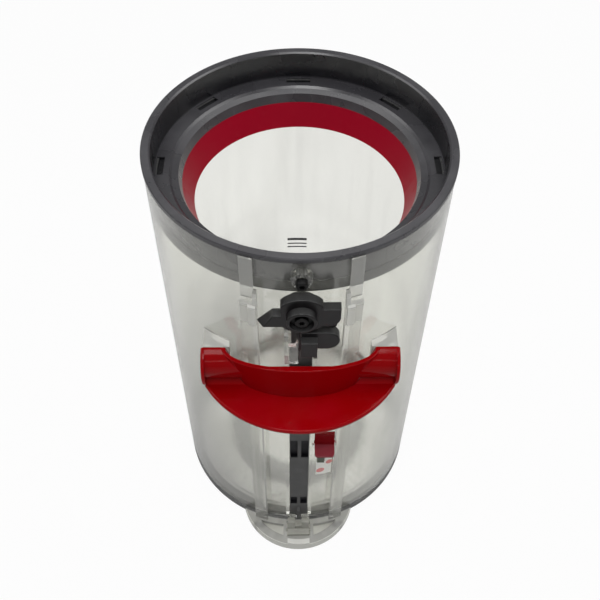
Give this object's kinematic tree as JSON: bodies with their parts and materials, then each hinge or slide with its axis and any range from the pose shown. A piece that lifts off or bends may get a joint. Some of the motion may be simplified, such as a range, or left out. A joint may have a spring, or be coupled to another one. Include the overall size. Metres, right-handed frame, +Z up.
{
  "type": "cyclone dust bin",
  "caption": "Clear cylindrical cyclone dust bin with a grey socket collar, red wiper ring and push handle, and a rocker and rod that open a hinged base lid.",
  "frame": {"origin": "centre of the base lid's flat underside", "axes": "+Z up along the tube's axis, -Y towards the handle and rocker, +X to the right seen from the front"},
  "size_m": [0.1176, 0.1489, 0.204],
  "materials": {
    "clear_plastic": "clear, lightly scuffed",
    "collar_grey": "satin dark grey",
    "seal_rubber": "matt",
    "red_rubber": "satin",
    "red_plastic": "glossy",
    "black_plastic": "satin",
    "black_steel": "black oxide",
    "rod_grey": "satin",
    "spring_steel": "bright",
    "white_label": "matt"
  },
  "bodies": {
    "bin": {"bin_body": "clear_plastic", "top_collar": "collar_grey", "collar_seal": "seal_rubber", "wiper_ring": "red_rubber", "collar_screw": "black_steel", "push_handle": "red_plastic", "rocker_washer": "black_steel", "rocker_screw": "black_steel", "rod_spring": "spring_steel", "hinge_pin": "spring_steel", "button_spring": "spring_steel", "plain_label": "white_label"},
    "lid": {"base_lid": "clear_plastic", "lid_seal": "seal_rubber", "catch_pin": "clear_plastic"},
    "rocker": {"rocker": "black_plastic"},
    "rod": {"pull_rod": "rod_grey", "rod_head": "black_plastic"},
    "catch": {"lid_catch": "clear_plastic"},
    "button": {"release_button": "red_plastic"}
  },
  "joints": [
    {"name": "lid_hinge", "type": "hinge", "parent": "bin", "child": "lid", "pos_m": [0, 0.064, 0.007], "axis": [1, 0, 0], "range_deg": [0, 100]},
    {"name": "rod_slide", "type": "slide", "parent": "bin", "child": "rod", "axis": [0, 0, -1], "range_m": [0, 0.0036], "stiffness_N_per_m": 200, "springref_m": -0.005, "deforming": ["rod_spring"]},
    {"name": "rocker_pivot", "type": "hinge", "parent": "bin", "child": "rocker", "pos_m": [0, -0.0636, 0.182], "axis": [0, 1, 0], "range_deg": [0, 20.2]},
    {"name": "catch_pivot", "type": "hinge", "parent": "lid", "child": "catch", "pos_m": [0, -0.0645, 0.0032], "axis": [1, 0, 0], "range_deg": [0, 8.1]},
    {"name": "button_pivot", "type": "hinge", "parent": "bin", "child": "button", "pos_m": [0.0108, -0.0606, 0.0872], "axis": [1, 0, 0], "range_deg": [0, 8], "stiffness_Nm_per_rad": 0.05, "springref_deg": -5.73}
  ],
  "couplings": [
    {"joint": "rocker_pivot", "follows": "rod_slide", "rad_per_m": 96.963},
    {"joint": "catch_pivot", "follows": "rod_slide", "rad_per_m": 38.785}
  ]
}
